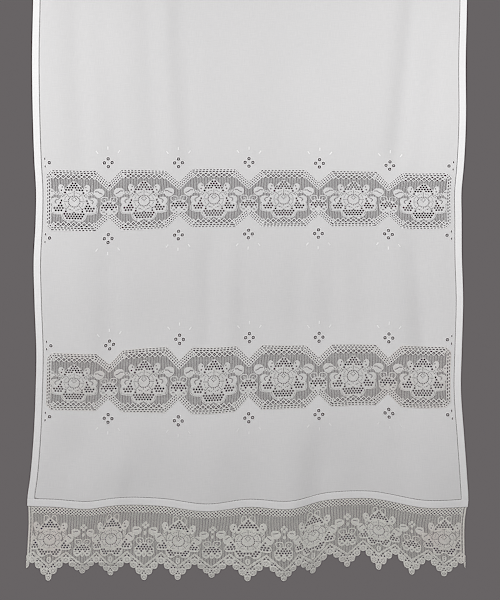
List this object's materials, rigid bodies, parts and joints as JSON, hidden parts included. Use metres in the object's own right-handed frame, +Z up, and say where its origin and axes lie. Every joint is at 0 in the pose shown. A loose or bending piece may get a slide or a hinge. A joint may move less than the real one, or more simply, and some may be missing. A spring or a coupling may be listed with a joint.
{
  "type": "rod pocket curtain",
  "caption": "Sheer white curtain panel with a rod pocket, lace insertions and a pointed lace edging.",
  "frame": {"origin": "middle of the top edge of the rod pocket, midway between its front and its back", "axes": "+Z up along the drop, +X across the width to the right seen from the room, +Y away from the room, towards the window"},
  "size_m": [0.818, 0.0383, 1.3703],
  "materials": {
    "white_lawn": "sheer plain-woven cotton lawn",
    "white_lace": "white cotton net lace",
    "ecru_lace": "cotton net lace, slightly yellowed"
  },
  "bodies": {
    "root": {"cloth_panel": "white_lawn", "rod_pocket": "white_lawn", "lace_band_upper": "white_lace", "lace_band_lower": "ecru_lace", "lace_edging": "ecru_lace"}
  },
  "joints": []
}
